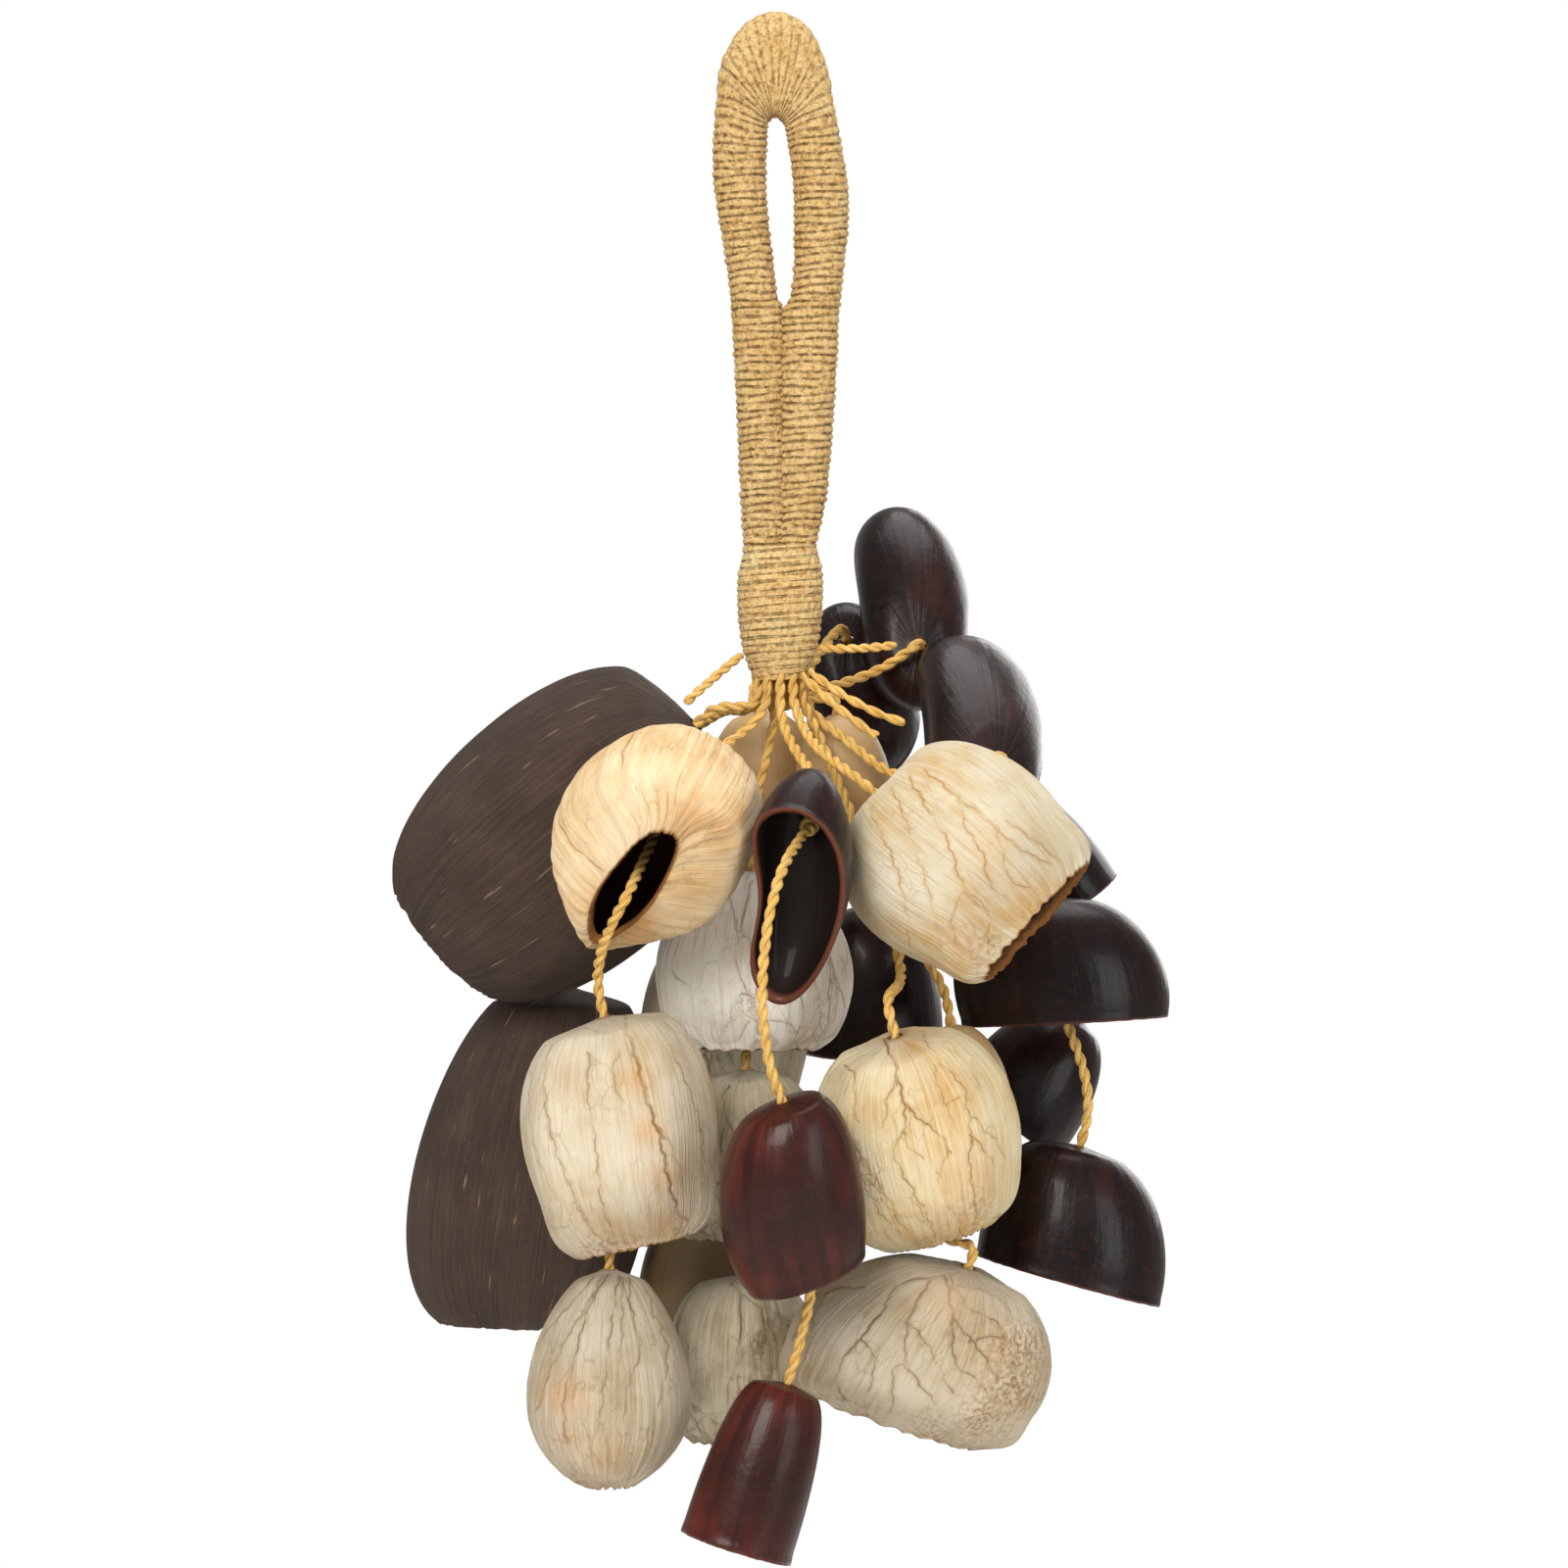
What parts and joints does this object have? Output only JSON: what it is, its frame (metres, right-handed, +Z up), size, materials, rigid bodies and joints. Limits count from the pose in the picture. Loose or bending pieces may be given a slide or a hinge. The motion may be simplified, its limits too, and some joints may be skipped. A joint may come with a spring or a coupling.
{
  "type": "nutshell rattle",
  "caption": "Hand rattle of dried nutshells and seed pods strung like bells on cords under a long handle loop wound with twine.",
  "frame": {"origin": "underside of the crown of the handle loop, where the rattle hangs", "axes": "+Z up along the handle, -Y the front, +X to the viewer's right"},
  "size_m": [0.1602, 0.1308, 0.3139],
  "materials": {
    "cream": "dry and matte, with a network of brown veins",
    "pod": "smooth and glossy",
    "husk": "matte, with straight fibres",
    "tan": "smooth, half matte",
    "twine": "twisted plant fibre",
    "cane": "bare cane, out of sight"
  },
  "bodies": {
    "handle": {"handle_winding": "twine", "handle_core": "cane", "collar_winding": "twine", "stub_right": "twine", "stub_left": "twine", "cut_end_upper": "twine", "cut_end_lower": "twine", "tan_v": "tan", "tan_u": "tan", "inner_cord": "twine", "cream_q": "cream", "cream_r": "cream", "cream_s": "cream", "centre_cord": "twine"},
    "front_string": {"pod_d": "pod", "pod_o": "pod", "pod_p": "pod", "front_cord": "twine"},
    "front_left_string": {"cream_c": "cream", "cream_l": "cream", "cream_m": "cream", "front_left_cord": "twine"},
    "left_string": {"husk_a": "husk", "left_cord": "twine", "husk_b": "husk", "low_left_cord": "twine"},
    "front_right_string": {"cream_e": "cream", "front_right_cord": "twine", "cream_n": "cream", "cream_t": "cream", "low_right_cord": "twine"},
    "right_string": {"pod_g": "pod", "pod_i": "pod", "pod_k": "pod", "right_cord": "twine"},
    "right_back_string": {"pod_f": "pod", "pod_h": "pod", "pod_j": "pod", "right_back_cord": "twine"},
    "back_string": {"pod_z": "pod", "pod_w": "pod", "back_cord": "twine"},
    "back_left_string": {"tan_x": "tan", "cream_y": "cream", "tan_y": "tan", "back_left_cord": "twine"}
  },
  "joints": [
    {"name": "front_swing", "type": "hinge", "parent": "handle", "child": "front_string", "pos_m": [0, -0.0049, -0.1164], "axis": [-0.9994, -0.0349, 0], "range_deg": [0, 25]},
    {"name": "front_left_swing", "type": "hinge", "parent": "handle", "child": "front_left_string", "pos_m": [-0.00265, -0.00412, -0.1164], "axis": [-0.7431, 0.6691, 0], "range_deg": [0, 25]},
    {"name": "left_swing", "type": "hinge", "parent": "handle", "child": "left_string", "pos_m": [-0.00446, -0.00203, -0.1164], "axis": [0.4384, 0.8988, 0], "range_deg": [0, 20]},
    {"name": "front_right_swing", "type": "hinge", "parent": "handle", "child": "front_right_string", "pos_m": [0.00265, -0.00412, -0.1164], "axis": [-0.682, -0.7314, 0], "range_deg": [0, 20]},
    {"name": "right_swing", "type": "hinge", "parent": "handle", "child": "right_string", "pos_m": [0.00485, 0.0007, -0.1164], "axis": [0.0175, -0.9998, 0], "range_deg": [0, 20]},
    {"name": "right_back_swing", "type": "hinge", "parent": "handle", "child": "right_back_string", "pos_m": [0.00138, 0.0047, -0.1164], "axis": [0.9659, -0.2588, 0], "range_deg": [0, 20]},
    {"name": "back_swing", "type": "hinge", "parent": "handle", "child": "back_string", "pos_m": [-0.00138, 0.0047, -0.1164], "axis": [0.9659, 0.2588, 0], "range_deg": [0, 6]},
    {"name": "back_left_swing", "type": "hinge", "parent": "handle", "child": "back_left_string", "pos_m": [-0.0037, 0.00321, -0.1164], "axis": [0.9816, 0.1908, 0], "range_deg": [0, 20]}
  ]
}
